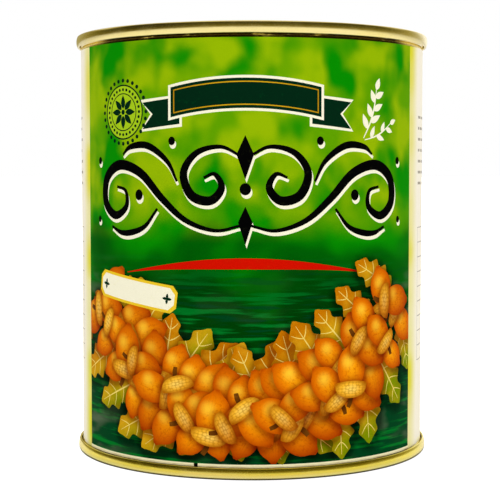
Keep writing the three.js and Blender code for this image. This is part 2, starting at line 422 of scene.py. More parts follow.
def endLine():
    # an end's middle line from the axis out, as radius and depth below the crown of its seam
    flat = lid["panelDepth"]
    corners = [(0.0, flat - lid["dish"], 0.0)]
    outer, inner = lid["ringHalfWidth"], lid["ringHalfWidth"] - lid["ringSlope"]
    for ring in lid["ringRadii"]:
        rest = flat - lid["dish"] * (1 - (ring / lid["panelRadius"]) ** 2)
        for offset, drop in ((-outer, 0), (-inner, 1), (inner, 1), (outer, 0)):
            corners.append((ring + offset, rest + drop * lid["ringDepth"], lid["ringBend"]))
    corners.append((lid["panelRadius"], flat, lid["panelBend"]))
    sink = (lid["panelRadius"] + seam["chuckWall"] - 0.5) / 2
    corners += [(sink + out, lid["sinkDepth"] + down, bend) for out, down, bend in lid["sinkCorners"]]
    out, down, bend = lid["wallFoot"]
    corners.append((seam["chuckWall"] + out, can["seamHeight"] + down, bend))
    corners.append((seam["chuckWall"], *lid["wallTop"]))
    crown = can["sheet"] / 2
    foot = can["seamHeight"] - crown
    waist = (crown + foot) / 2 - seam["waistRise"]

    def wallAt(depth, bend=0.0):
        return seam["wall"] - (depth - waist) ** 2 / (2 * seam["barrel"]), depth, bend

    corners += [(seam["chuckWall"], crown, seam["crownBend"]), wallAt(crown, seam["shoulderBend"])]
    corners += [wallAt(depth) for depth in seam["barrelDepths"]]
    corners += [
        wallAt(foot, seam["footBend"]),
        (seam["endHook"], foot, seam["footBend"]),
        (seam["endHook"], seam["fold"] + 0.4, 0.0),
    ]
    return rounded(corners)


def flangeLine():
    # the body's middle line at one end, from its hook's tip in to the plain cylinder
    top = seam["fold"] - pitch
    hook = seam["bodyHook"] - seam["hookRoom"]
    inner = can["bodyRadius"] - can["sheet"] / 2
    neck = can["seamHeight"] - 0.15
    return rounded([
        (hook, seam["fold"] + seam["hookLength"], 0.0),
        (hook, top, seam["foldBend"]),
        (seam["flange"], top, seam["foldBend"]),
        (seam["flange"], neck - 0.6, 0.4),
        (inner - can["pinch"], neck, 0.25),
        (inner, neck + can["neckLength"], 1.5),
        (inner, neck + can["neckLength"] + 3, 0.0),
    ])


def makeTurnedSheetTree():
    # sweeps an outline of (radius - turning radius, -height) round the Z axis
    tree, given = newShapeTree("turnedSheet", outline="Geometry", sides="Int", turningRadius="Float",
                               unevenness="Float", unevenScale="Float", finish="Material")
    ring = follow("GeometryNodeCurvePrimitiveCircle",
                  {"Resolution": given["sides"], "Radius": given["turningRadius"]})[0]
    outline = follow("GeometryNodeMeshToCurve", {"Mesh": given["outline"]})[0]
    swept = follow("GeometryNodeCurveToMesh", {"Curve": ring, "Profile Curve": outline})[0]
    closed = follow("GeometryNodeMergeByDistance", {"Geometry": swept, "Distance": 1e-6})[0]
    place = addNode(tree, "GeometryNodeInputPosition").outputs[0]
    clouds = {"Vector": place, "Scale": given["unevenScale"], "Detail": 1.0}
    field = follow("ShaderNodeTexNoise", clouds)[1]
    swing = follow("ShaderNodeVectorMath", {0: field, 1: (0.5, 0.5, 0.5)}, operation="SUBTRACT")[0]
    moved = {"Geometry": closed, "Offset": scaled(swing, given["unevenness"])}
    endShapeTree(follow("GeometryNodeSetPosition", moved)[0], given["finish"])
    return tree


def turned(name, outline, finish, closed):
    # an open outline starts and ends on the axis
    turning = can["bodyRadius"]
    count = len(outline)
    points = [((radius - turning) * mm, -height * mm, 0) for radius, height in outline]
    edges = [(i, (i + 1) % count) for i in range(count if closed else count - 1)]
    blank = bpy.data.meshes.new(name + "Outline")
    blank.from_pydata(points, edges, [])
    piece = shaped(name, blank, turnedSheetTree, sides=can["sides"], turningRadius=turning * mm,
                   unevenness=can["unevenness"] * mm, unevenScale=can["unevenScale"], finish=finish)
    piece.data.set_sharp_from_angle(angle=radians(can["sharpFrom"]))
    return piece


def upFrom(depth, isTop):
    return can["height"] - depth if isTop else depth


def makeEnd(name, node, isTop):
    outline = [(p.x, upFrom(p.y, isTop)) for p in sheetOutline(endLine())]
    piece = turned(name, outline, goldLacquer, closed=False)
    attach(piece, "root")
    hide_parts(node)


def makeBody():
    line = flangeLine()
    line += [Vector((p.x, upFrom(p.y, True))) for p in line[::-1]]
    piece = turned("bodySheet", [tuple(p) for p in sheetOutline(line)], recessShadedLacquer, closed=True)
    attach(piece, "root")
    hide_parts("can_body")


seal = {"halfWidth": 0.12, "near": -0.06, "far": 0.2, "steps": 10}


def makeSeal(name, node, isTop):
    # an oval bead of compound in the hollow between the end hook's tip and the body's fold
    middle = seam["fold"] + (seal["near"] + seal["far"]) / 2
    tall = (seal["far"] - seal["near"]) / 2
    outline = [(seam["endHook"] + x, upFrom(middle + y, isTop))
               for x, y in oval(seal["halfWidth"], tall, seal["steps"])]
    piece = turned(name, outline, sealCompound, closed=True)
    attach(piece, "root")
    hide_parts(node)


lacquer = {
    "gold": (0.93, 0.80, 0.36),
    "deepGold": (0.90, 0.76, 0.09),
    "footHighlight": (1.0, 0.93, 0.42),  # painted highlight: paler gold close to the foot, on the lowest face of the bottom seam
    "footHighlightTo": 1.7,
    # painted shade: dark brown for the recess under each seam
    "paintedShade": (0.07, 0.045, 0.006),
    "paintedShadeFrom": 43.5,  # painted shade: the body's lacquer is painted dark in front and behind, in the recess under each seam, and clears to its sides
    "paintedShadeTo": 38.5,
    "lowPaintedShade": 0.72,  # of that painted shade near the bottom
    "bareTin": (0.72, 0.71, 0.66),
    "wornEdge": (0.35, 0.02),  # depths below the crown
    "weld": (0.16, 0.15, 0.14),
    "weldEdge": (0.8, 0.6),
    "roughness": (0.16, 0.27),
    "wornRoughness": 0.15,  # added to it
    "panelRoughness": 0.14,
    "coatTint": (1.0, 0.86, 0.5),
}


def makeLacquer(name, shadedAndWelded=False):
    material, tree, shader = newMaterial(name)
    place = objectPlace(tree)
    parts = xyz(place)
    low = ease(parts["Z"], can["height"] * mm, 0.0)  # it is deeper towards the bottom
    cloud = ease(noiseOn(place, 45.0, 3.0, 0.55), 0.3, 0.75, -0.3, 0.3)
    colour = mix(maths("ADD", low, cloud, clamp=True), lacquer["gold"], lacquer["deepGold"])
    # painted highlight: the lacquer is paler on the lowest face of the bottom seam
    colour = mix(ease(parts["Z"], lacquer["footHighlightTo"] * mm, 0.0), colour, lacquer["footHighlight"])
    if shadedAndWelded:
        # painted shade: the recess under each seam is painted dark in front and behind, with gaps where the
        # gold shows through
        aside = maths("ABSOLUTE", parts["X"])
        shadeGaps = ease(noiseOn(place, (130.0, 130.0, 700.0), 3.0, 0.6), 0.66, 0.56, 0.25, 1.0)
        paintedShade = times(ease(aside, lacquer["paintedShadeFrom"] * mm, lacquer["paintedShadeTo"] * mm), shadeGaps,
                      ease(low, 0.2, 0.8, 1.0, lacquer["lowPaintedShade"]))
        colour = mix(paintedShade, colour, lacquer["paintedShade"])
    middle = can["height"] / 2 * mm
    fromMiddle = maths("ABSOLUTE", maths("SUBTRACT", parts["Z"], middle))
    edge = ease(fromMiddle, *(middle - depth * mm for depth in lacquer["wornEdge"]))
    radius = lengthOf(stretched(place, (1.0, 1.0, 0.0)))
    onSeam = ease(radius, (seam["chuckWall"] - 0.2) * mm, (seam["chuckWall"] + 0.2) * mm)
    worn = times(edge, onSeam, ease(noiseOn(place, 900.0, 4.0, 0.7), 0.56, 0.66))
    colour = mix(worn, colour, lacquer["bareTin"])
    scuff = ease(noiseOn(place, (240.0, 240.0, 2200.0), 3.0, 0.7), 0.66, 0.74, 0.0, 0.5)
    colour = mix(scuff, colour, lacquer["bareTin"])
    if shadedAndWelded:
        # the side weld, a bare strip down the back
        strip = ease(aside, *(side * mm for side in lacquer["weldEdge"]))
        colour = mix(times(maths("GREATER_THAN", parts["Y"], 0.0), strip), colour, lacquer["weld"])
    rough = ease(noiseOn(place, 160.0, 4.0, 0.6), 0.3, 0.75, *lacquer["roughness"])
    rough = maths("MULTIPLY_ADD", worn, lacquer["wornRoughness"], rough)
    panel = lid["panelRadius"]
    satin = ease(radius, panel * mm, (panel - 0.6) * mm, 0.0, lacquer["panelRoughness"])
    fill(shader, {
        "Base Color": colour,
        "Roughness": maths("ADD", rough, satin),
        "Metallic": 1.0,
        "Coat Weight": 0.2,
        "Coat Roughness": 0.12,
        "Coat IOR": 1.5,
        "Coat Tint": lacquer["coatTint"],
    })
    # rolling grain runs straight across the sheet, and the seamer's marks run round the can
    grain = noiseOn(place, (60.0, 2600.0, 300.0), 2.0, 0.6)
    rounds = noiseOn(place, (90.0, 90.0, 5200.0), 2.0, 0.6)
    dents = noiseOn(place, 320.0, 3.0)
    addBump(shader, (dents, 0.25, 0.00004), (rounds, 0.12, 0.00002), (grain, 0.18, 0.00002))
    return material


def makeSealCompound():
    material, tree, shader = newMaterial("sealCompound")
    grain = noiseOn(objectPlace(tree), 2500.0, 3.0, 0.6)
    colour = mix(ease(grain, 0.3, 0.7), (0.10, 0.10, 0.095), (0.17, 0.17, 0.16))
    fill(shader, {"Base Color": colour, "Roughness": ease(grain, 0.3, 0.7, 0.6, 0.85)})
    addBump(shader, (grain, 0.3, 0.00005))
    return material


makeFloor()
makeStudioLight()
makeSoftBoxes()
print("floor and light made")

turnedSheetTree = makeTurnedSheetTree()
goldLacquer = makeLacquer("goldLacquer")
recessShadedLacquer = makeLacquer("recessShadedLacquer", shadedAndWelded=True)
sealCompound = makeSealCompound()
makeBody()
makeEnd("topEnd", "top_end", True)
makeEnd("bottomEnd", "bottom_end", False)
makeSeal("topSeal", "top_seal", True)
makeSeal("bottomSeal", "bottom_seal", False)
print("tinplate made")

label = {
    "radius": paperHigh.x / mm,  # outside of the paper
    "bottom": paperLow.z / mm - 0.35,
    "height": (paperHigh.z - paperLow.z) / mm + 0.23,
    "paper": 0.12,
    "begins": -252.0,  # degrees round the can from the front, under the lap
    "ends": 117.0,
    "liftFrom": 99.0,  # where the end rises over the beginning
    "liftTo": 108.0,
    "lapRise": 0.17,
    "margin": 0.85,  # unprinted strip along the bottom
    "registerMark": (-15.6, -14.5),  # the printer's, on that strip
    "grid": 1.7,
    "backGrid": (3, 6),
    "joinWithin": (1e-3, 1e-5),  # in front and on the back
    "ripple": 0.025,
    "rippleSize": (26.0, 34.0),
    "curl": 0.09,
    "curlReach": 3.0,
    "curlSize": (9.0, 40.0),
}
label["perDegree"] = label["radius"] * pi / 180
label["left"] = label["begins"] * label["perDegree"]
label["right"] = label["ends"] * label["perDegree"]

panels = {  # the sheet from left to right, between these places along it
    "back": (label["left"], -102.9),
    "leftInfo": (-102.9, -56.9),
    "front": (-56.9, 53.4),
    "rightInfo": (53.4, label["right"]),
}
ornamentsAt = {"back": -157.0, "front": -1.75}  # along the sheet, the middles of their ornaments

shapes = []  # what is printed, each one over those before it


def placed(outline, middle=(0.0, 0.0), turn=0.0):
    c, s = cos(turn), sin(turn)
    return [(middle[0] + x * c - y * s, middle[1] + x * s + y * c) for x, y in outline]


def spotAt(x, y, middle, turn=0.0):
    return placed([(x, y)], middle, turn)[0]


def printShape(ink, outline, middle=(0.0, 0.0), turn=0.0, reach=(1.0, 1.0), tone=0.5, casts=False):
    # reach is half the motif's size, which its own shading is measured by
    corners = placed(outline, middle, turn)
    points = []  # with the long edges split, so that they bend round the can
    area = 0.0
    for i, (x, y) in enumerate(corners):
        fromX, fromY = corners[i - 1]
        area += fromX * y - x * fromY
        count = ceil(hypot(x - fromX, y - fromY) / (label["grid"] * 1.2))
        points += [(fromX + (x - fromX) * k / count, fromY + (y - fromY) * k / count)
                   for k in range(1, count + 1)]
    shapes.append({
        "ink": ink, "points": points if area > 0 else points[::-1], "middle": middle,
        "turn": turn, "reach": reach, "tone": tone, "casts": casts,
    })


def mirrored(points):
    return [(-x, y) for x, y in points]


def smoothLine(points, steps):
    # a curve through every point
    spots = [Vector(p) for p in points]
    spots = [spots[0] * 2 - spots[1], *spots, spots[-1] * 2 - spots[-2]]
    line = []
    for a, b, c, d in zip(spots, spots[1:], spots[2:], spots[3:]):
        for t in (k / steps for k in range(steps)):
            line.append(0.5 * (2 * b + (c - a) * t + (2 * a - 5 * b + 4 * c - d) * t * t
                               + (3 * b - a - 3 * c + d) * t ** 3))
    return line + [spots[-2]]


def penStroke(points, thin, thick, fullest=0.5, steps=7):
    # the outline of a stroke that swells from thin to thick and back
    line = smoothLine(points, steps)
    last = len(line) - 1
    asides = []
    for i in range(last + 1):
        along = (line[min(i + 1, last)] - line[max(i - 1, 0)]).normalized()
        t = i / last
        swell = t / fullest if t < fullest else (1 - t) / (1 - fullest)
        half = (thin + (thick - thin) * sin(swell * pi / 2) ** 1.5) / 2
        asides.append(Vector((-along.y, along.x)) * half)
    return bothSides(line, asides)


flourish = {
    "height": 73.0,
    "thin": 0.7,
    "fullest": 0.55,
    "edgeShift": (0.35, -0.9),  # of the cream edge that shows below each black stroke
    "strokes": [  # the right-hand half, as points from the middle out
        (2.9, [(1.5, -9.5), (8, -10.8), (16, -8.2), (23, -2.5), (30, 4.2), (38, 6.4), (44, 2.8),
               (44.6, -3.6), (40, -7.2), (35.4, -4.8), (35.6, -0.6), (39.2, 0.6)]),
        (2.5, [(1.2, 8.6), (6.5, 11.0), (13, 9.4), (16.6, 4.2), (14.4, -1.6), (9.2, -3.0),
               (6.2, 0.4), (8.0, 3.9), (11.0, 3.0)]),
        (1.9, [(18.5, 2.0), (21.5, 7.4), (27.5, 11.4), (33.6, 11.2), (36.6, 9.2)]),
        (1.7, [(24.5, -5.2), (28.4, -9.8), (33.0, -11.6), (37.5, -11.8), (41.5, -10.2)]),
    ],
    "drops": [(20.0, 12.6, 1.0), (30.6, -1.6, 1.3), (47.6, 7.6, 0.9), (48.0, -8.4, 0.8)],
    "diamonds": [
        [(0, 14), (2.3, 9), (0, 2.5), (-2.3, 9)],
        [(0, -4.5), (1.9, -8.6), (0, -14.5), (-1.9, -8.6)]],
    "bead": (1.5, 1.6),
}


def printFlourish(across):
    # a blank scroll, the same on both sides of two slim diamonds and a bead
    half = [penStroke(points, flourish["thin"], thick, flourish["fullest"], 6)
            for thick, points in flourish["strokes"]]
    half += [placed(oval(size, size * 1.15, 16), (x, y)) for x, y, size in flourish["drops"]]
    outlines = half + [mirrored(outline) for outline in half] + flourish["diamonds"]
    outlines.append(oval(*flourish["bead"], 20))
    middle = (across, flourish["height"])
    for ink, spot in (("creamInk", spotAt(*flourish["edgeShift"], middle)), ("blackInk", middle)):
        for outline in outlines:
            printShape(ink, outline, spot)


rule = {"height": 53.6, "halfLength": 35.0, "thin": 0.25, "thick": 2.9, "sag": 3.0}


def printRule(across):
    # a red rule, thickest in the middle, its ends a little lower
    parts = [t / 6 for t in range(-6, 7)]
    points = [(rule["halfLength"] * t, -rule["sag"] * t ** 2) for t in parts]
    printShape("redInk", penStroke(points, rule["thin"], rule["thick"]), (across, rule["height"]))


banner = {
    "height": 95.5,
    "halfWidth": 21.0,
    "halfHeight": 4.6,
    "rise": 2.4,
    "insets": (("creamInk", 0.0), ("greenInk", 0.7), ("leafInk", 1.5), ("greenInk", 1.8)),
    "tail": (17.0, 30.0),  # from and to
    "tailTop": 2.2,
    "tailBottom": -6.2,
    "tailDrop": 1.2,
    "notch": (3.4, 0.8),
    "reach": (30, 8),
}


def bannerFace(inset):
    halfWidth, halfHeight = banner["halfWidth"] - inset, banner["halfHeight"] - inset
    along = [halfWidth * (i / 10 - 1) for i in range(21)]
    arch = [(x, banner["rise"] * (1 - (x / banner["halfWidth"]) ** 2)) for x in along]
    return [(x, y + halfHeight) for x, y in arch] + [(x, y - halfHeight) for x, y in arch[::-1]]


def bannerTail(inset):
    start, end = banner["tail"][0] + inset, banner["tail"][1] - inset
    top, bottom = banner["tailTop"] - inset, banner["tailBottom"] + inset
    drop, (inwards, down) = banner["tailDrop"], banner["notch"]
    return [(start, bottom), (end, bottom - drop), (end - inwards, (top + bottom) / 2 - down),
            (end, top - drop), (start, top)]


def printBanner(across):
    middle = (across, banner["height"])
    for ink, inset in banner["insets"][:2]:
        for tail in (bannerTail(inset), mirrored(bannerTail(inset))):
            printShape(ink, tail, middle)
    for ink, inset in banner["insets"]:
        printShape(ink, bannerFace(inset), middle, reach=banner["reach"])


sprig = {
    "length": 4.4,
    "width": 1.7,
    "stem": 13.0,
    "bow": 0.9,
    "lean": 0.75,
    "pair": (((33.5, 86.5), -0.35, 1.05, 7), ((33.9, 86.0), -1.15, 0.85, 5)),  # place, turn, size, leaves
}


def smallLeaf(length, width, steps=8):
    side = [(width / 2 * sin(pi * (i / steps) ** 0.8), length * i / steps) for i in range(1, steps)]
    return [(0, 0)] + side + [(0, length)] + mirrored(side)[::-1]


def printSprig(ink, middle, turn, size, leaves):
    bow = [(sprig["bow"] * size * sin(pi * t / 20), sprig["stem"] * size * t / 20) for t in range(21)]
    printShape(ink, penStroke(bow[::4], 0.25 * size, 0.5 * size), middle, turn)
    for i in range(leaves):
        t = 1 - 0.8 * i / (leaves - 1)
        lean = 0 if i == 0 else sprig["lean"] * (1 if i % 2 else -1)
        leaf = smallLeaf(sprig["length"] * size * (1 - 0.25 * t), sprig["width"] * size)
        printShape(ink, leaf, spotAt(*bow[round(20 * t)], middle, turn), turn - lean)


rosette = {
    "middle": (-36.5, 93.5),
    "radius": 8.2,
    "rings": (("greenInk", 0.9), ("limeInk", 0.85), ("greenInk", 0.62), ("limeInk", 0.585)),  # of the radius
    "dots": 28,
    "dotRows": ((0.735, 0.42), (1.03, 0.55)),  # the row's radius, as a share, and its dots'
    "petals": 8,
    "petal": (0.448, 1.7),
    "bead": 0.7,
}


def printRosette(across):
    middle = spotAt(*rosette["middle"], (across, 0))
    outer = rosette["radius"]
    for ink, share in rosette["rings"]:
        printShape(ink, oval(outer * share, outer * share, 48), middle)
    for i in range(rosette["dots"]):
        turn = 2 * pi * i / rosette["dots"]
        for share, dot in rosette["dotRows"]:
            printShape("greenInk", oval(dot, dot, 10), spotAt(share * outer, 0, middle, turn))
    length, width = rosette["petal"]
    for i in range(rosette["petals"]):
        turn = 2 * pi * i / rosette["petals"]
        printShape("greenInk", smallLeaf(outer * length, width), spotAt(0, 0.9, middle, turn), turn)
    printShape("greenInk", oval(rosette["bead"], rosette["bead"], 14), middle)


tag = {
    "middle": (-33.0, 45.5),
    "halfWidth": 14.5,
    "halfHeight": 3.7,
    "turn": -0.13,
    "border": 0.75,
    "clip": 1.6,
    "starInset": 3.0,
    "starLeaf": (1.5, 0.8),
}


def printTag(across):
    # a blank tag with clipped corners, a golden border and a small star at each end
    middle = spotAt(*tag["middle"], (across, 0))
    for ink, inset in (("goldInk", 0.0), ("creamInk", tag["border"])):
        w, h, clip = tag["halfWidth"] - inset, tag["halfHeight"] - inset, tag["clip"]
        right = [(w - clip, -h), (w, -h + clip), (w, h - clip), (w - clip, h)]
        printShape(ink, right + mirrored(right)[::-1], middle, tag["turn"])
    for side in (-1, 1):
        spot = spotAt(side * (tag["halfWidth"] - tag["starInset"]), 0, middle, tag["turn"])
        for quarter in range(4):
            printShape("greenInk", smallLeaf(*tag["starLeaf"]), spot, tag["turn"] + quarter * pi / 2)


swag = {  # a garland of acorns and oak leaves, hanging from both upper corners
    "halfSpan": 46.0,
    "low": 12.5,
    "rise": 29.0,
    "rows": (6.4, -6.6, 0.0),  # across the garland, the hindmost first
    "perRow": 17,
    "acorn": 12.4,
    "lowestAcorn": 8.5,
    "leaf": 21.0,
    "leaves": 26,
    "leafAside": 11.5,
    "lowestLeaf": 9.5,
    "seed": 12,
    "net": (66, 22),  # steps of the finer net, each way along it and across it
    "netPerSpan": 62,
    "netHalfWidth": 50.0,
}


def swagSpot(t, aside):
    # a place along the garland from -1 to 1 and across it, with the way along it
    along = Vector((swag["halfSpan"], 2 * swag["rise"] * t)).normalized()
    spot = Vector((swag["halfSpan"] * t, swag["low"] + swag["rise"] * t * t))
    return spot + Vector((-along.y, along.x)) * aside, atan2(along.y, along.x)


def swagNet(across):
    # a finer net under the garland, for the shade between its motifs
    far, wide = swag["net"]
    spots = [swagSpot(i / swag["netPerSpan"], j * label["grid"] / 2)[0]
             for i in range(-far, far + 1) for j in range(-wide, wide + 1)]
    return [Vector((across + spot.x, spot.y)) for spot in spots
            if spot.y > label["margin"] + 0.4 and abs(spot.x) < swag["netHalfWidth"]]


def nutOutline(length):
    # the tip points down
    points = []
    for t in (2 * pi * i / 26 for i in range(26)):
        x, y = cos(t), sin(t)
        tip = 0.12 * exp(-((x / 0.22) ** 2)) if y < 0 else 0.0
        points.append((0.34 * length * x * (1 - 0.10 * y), length * (0.46 * y - tip)))
    return points


def cupOutline(length):
    turns = [pi * i / 11 for i in range(12)]
    brim = [(-0.39 * length * cos(t), -(0.10 + 0.07 * sin(t)) * length) for t in turns]
    dome = [(0.39 * length * cos(t), (0.28 * sin(t) ** 0.8 - 0.10) * length) for t in turns[1:-1]]
    return brim + dome


def printAcorn(middle, turn, size, tone):
    length = swag["acorn"] * size
    cup = spotAt(0, 0.35 * length, middle, turn)
    nut = spotAt(0, -0.06 * length, middle, turn)
    stem = [(0, 0.10 * length), (0.02 * length, 0.24 * length), (0.07 * length, 0.36 * length)]
    printShape("stemInk", penStroke(stem, 0.09 * length, 0.11 * length, steps=3), cup, turn)
    printShape("nutInk", nutOutline(length), nut, turn, (0.36 * length, 0.52 * length), tone, casts=True)
    printShape("cupInk", cupOutline(length), cup, turn, (0.4 * length, 0.19 * length), tone, casts=True)


oakLeaf = {
    "width": 0.56,  # of its length
    "lobes": 4,
    "lobeDepth": 0.36,
    "steps": 36,
    "ribSpread": (0.27, 0.36, 0.33, 0.22),  # of its width, from its foot up
    "ribs": (0.42, 0.26),  # how thick the middle one and the others are
}


def oakLeafOutline(length, width):
    side = []
    for t in (i / oakLeaf["steps"] for i in range(1, oakLeaf["steps"])):
        body = sin(pi * t ** 0.8) ** 0.55
        wave = abs(cos(pi * (oakLeaf["lobes"] * t + 0.15))) ** 1.6
        side.append((width / 2 * body * (1 - oakLeaf["lobeDepth"] * wave), (t - 0.5) * length))
    return [(0.0, -0.5 * length)] + side + [(0.0, 0.5 * length)] + mirrored(side)[::-1]


def printOakLeaf(middle, turn, size, tone):
    length = swag["leaf"] * size
    width = oakLeaf["width"] * length
    half = (width / 2, length / 2)
    printShape("leafInk", oakLeafOutline(length, width), middle, turn, half, tone, casts=True)
    main, others = oakLeaf["ribs"]
    ribs = [(main, [(0, -0.62 * length), (0, 0), (0, 0.42 * length)])]
    for i, spread in enumerate(oakLeaf["ribSpread"]):
        y, far = length * (-0.30 + 0.19 * i), width * spread
        rib = [(0, y - 0.05 * length), (far * 0.5, y), (far, y + 0.08 * length)]
        ribs += [(others, rib), (others, mirrored(rib))]
    for thick, rib in ribs:
        printShape("ribInk", penStroke(rib, 0.1, thick, 0.3, steps=2), middle, turn)


def printSwag(across):
    draw = random.Random(swag["seed"])
    for i in range(swag["leaves"]):
        outer = i % 2 == 0
        t = -1.02 + 2.04 * i / (swag["leaves"] - 1)
        spot, way = swagSpot(t, swag["leafAside"] * (-1 if outer else 1))
        turn = way + (pi if outer else 0.0) + draw.uniform(-0.6, 0.6)
        middle = (across + spot.x, max(spot.y, swag["lowestLeaf"]))
        printOakLeaf(middle, turn, draw.uniform(0.75, 1.0), draw.uniform(0.2, 0.8))
    for row, aside in enumerate(swag["rows"]):
        count = swag["perRow"] + (row == 2)
        for i in range(count):
            t = -0.99 + 1.98 * (i + draw.uniform(-0.2, 0.2)) / (count - 1)
            spot, way = swagSpot(t, aside + draw.uniform(-1.2, 1.2))
            outwards = {0: pi, 1: 0.0, 2: draw.choice((0.6, -0.6, 2.6, -2.6))}[row]
            turn = way + outwards + draw.uniform(-0.65, 0.65)
            middle = (across + spot.x, max(spot.y, swag["lowestAcorn"]))
            printAcorn(middle, turn, draw.uniform(0.86, 1.1), draw.uniform(0.15, 0.85))


def printPanel(left, right, across):
    # a green panel from the bottom margin up, with its ornaments about the middle of its face
    reach = ((right - left) / 2, label["height"] / 2)
    ground = block(-reach[0], label["margin"] - reach[1], *reach)
    printShape("greenGround", ground, ((left + right) / 2, reach[1]), reach=reach)
    printBanner(across)
    printRosette(across)
    for place, turn, size, leaves in sprig["pair"]:
        printSprig("creamInk", spotAt(*place, (across, 0)), turn, size, leaves)
    printFlourish(across)
    printRule(across)
    printSwag(across)
    printTag(across)


info = {
    "stripe": 8.5,
    "inset": 8.0,  # of the table and the dashes from the panel's edges
    "table": 24.0,  # its foot
    "rows": 9,
    "rowHeight": 4.2,
    "columns": (0.0, 0.58, 1.0),
    "line": 0.11,  # half its width
    "dashes": 74.0,
    "dashRows": 7,
    "dashPitch": 3.1,
    "dash": (1.2, 4.6),
    "dashHeight": 0.75,
    "dashGap": 0.9,
    "sprigs": 6.5,
}


def printInfo(left, right, stripes):
    # a cream panel with yellow stripes beside the green, a ruled table left empty and plain dashes
    height = label["height"]
    printShape("creamGround", block(left, 0, right, height))
    for edge, turn in stripes:
        stripe = block(0, -height / 2, info["stripe"], height / 2)
        printShape("stripeInk", stripe, (edge, height / 2), turn, (info["stripe"], height / 2))
    inner, outer = left + info["inset"], right - info["inset"]
    base, top = info["table"], info["table"] + info["rows"] * info["rowHeight"]
    line = info["line"]
    for y in (base + row * info["rowHeight"] for row in range(info["rows"] + 1)):
        printShape("greyInk", block(inner, y - line, outer, y + line))
    for x in (inner + share * (outer - inner) for share in info["columns"]):
        printShape("greyInk", block(x - line, base - line, x + line, top + line))
    draw = random.Random(int(100 + left))
    for row in range(info["dashRows"]):
        x, y = inner, info["dashes"] + row * info["dashPitch"]
        while x < outer - 3:
            dash = min(draw.uniform(*info["dash"]), outer - x)
            printShape("greyInk", block(x, y, x + dash, y + info["dashHeight"]))
            x += dash + info["dashGap"]
    for turn in (-0.5, 0.5):
        printSprig("greenInk", ((inner + outer) / 2, info["sprigs"]), turn, 0.8, 5)


def printSheet():
    # prints everything, and gives the points of the net that the bare sheet is cut on
    left, right, height = label["left"], label["right"], label["height"]
    columns, rows = round((right - left) / label["grid"]), round(height / label["grid"])
    along = [left + (right - left) * i / columns for i in range(columns + 1)]
    up = [height * i / rows for i in range(rows + 1)]
    edge = [(x, 0.0) for x in along[:-1]] + [(right, y) for y in up[:-1]]
    edge += [(x, height) for x in along[:0:-1]] + [(left, y) for y in up[:0:-1]]
    printShape("creamGround", edge)
    for name, across in ornamentsAt.items():
        printPanel(*panels[name], across)
    left, right = panels["leftInfo"]
    printInfo(left, right, [(left, 0.0), (right, pi)])
    left, right = panels["rightInfo"]
    printInfo(left, right, [(left, 0.0)])
    start, end = label["registerMark"]
    printShape("blackInk", block(start, 0.0, end, label["margin"]))
    net = [Vector((x, y)) for x in along[1:-1] for y in up[1:-1]]
    return net + swagNet(ornamentsAt["back"]) + swagNet(ornamentsAt["front"])


def smoothStep(low, high, value):
    t = min(1.0, max(0.0, (value - low) / (high - low)))
    return t * t * (3 - 2 * t)


def wavesAt(x, y, size, depth):
    return noise.noise(Vector((x / size[0], y / size[1], depth)))


def wrapped(x, y, sunk=0.0):
    # from the flat sheet to its place round the can
    angle = x / label["perDegree"]
    rise = label["lapRise"] * smoothStep(label["liftFrom"], label["liftTo"], angle)
    edge = min(y, label["height"] - y)
    curl = label["curl"] * max(0.0, 1 - edge / label["curlReach"]) ** 2
    curl *= 0.5 + 0.5 * wavesAt(x, y, label["curlSize"], 8.2)
    ripple = label["ripple"] * wavesAt(x, y, label["rippleSize"], 3.7)
    radius = label["radius"] - sunk + rise + ripple + curl
    turn = radians(angle)
    return (radius * sin(turn) * mm, -radius * cos(turn) * mm, (label["bottom"] + y) * mm)


shade = {  # printed round each motif of the garland, on what it lies over
    "reach": 2.2,
    "depth": 0.66,
    "drop": -0.10,
    "fall": (-0.2, 0.34),  # of a motif's own tone, across it and up it
}


def shadeOn(spots, layers):
    # how much of the printed light is held off each spot by the motifs printed over its own
    light = np.ones(len(spots))
    for order, shape in enumerate(shapes):
        if shape["casts"]:
            reach = np.array(shape["reach"])
            away = spots - shape["middle"] - (0.0, shade["drop"] * reach[1])
            near = (layers < order) & (abs(away).max(axis=1) < max(reach) + shade["reach"])
            c, s = cos(shape["turn"]), sin(shape["turn"])
            inReach = np.hypot(*(away[near] @ ((c, -s), (s, c)) / reach).T)
            gap = np.hypot(*away[near].T) * (1 - 1 / np.maximum(inReach, 1.0))
            light[near] *= 1 - shade["depth"] * np.maximum(1 - gap / shade["reach"], 0.0) ** 2
    return 1 - light


def backing(spots, faces):
    # the plain back of the sheet, on a wider net within the same border, and the rim between them
    follows = {(face[i - 1], corner) for face in faces for i, corner in enumerate(face)}
    follows = {a: b for a, b in follows if (b, a) not in follows}
    border = [min(follows)]
    while follows[border[-1]] != border[0]:
        border.append(follows[border[-1]])
    stepX, stepY = label["backGrid"]
    across = range(round(label["left"]) + 3, round(label["right"]) - 2, stepX)
    net = [Vector((x, y)) for x in across for y in range(3, round(label["height"]) - 2, stepY)]
    loop = list(range(len(border)))
    cut = delaunay_2d_cdt([spots[i] for i in border] + net, [], [loop], 1, label["joinWithin"][1], True)
    inner = {given: len(spots) + i for i, held in enumerate(cut[3]) for given in held}
    back = [tuple(len(spots) + i for i in face[::-1]) for face in cut[2]]
    back += [(border[i], border[i - 1], inner[(i - 1) % len(border)], inner[i]) for i in loop]
    return list(cut[0]), back


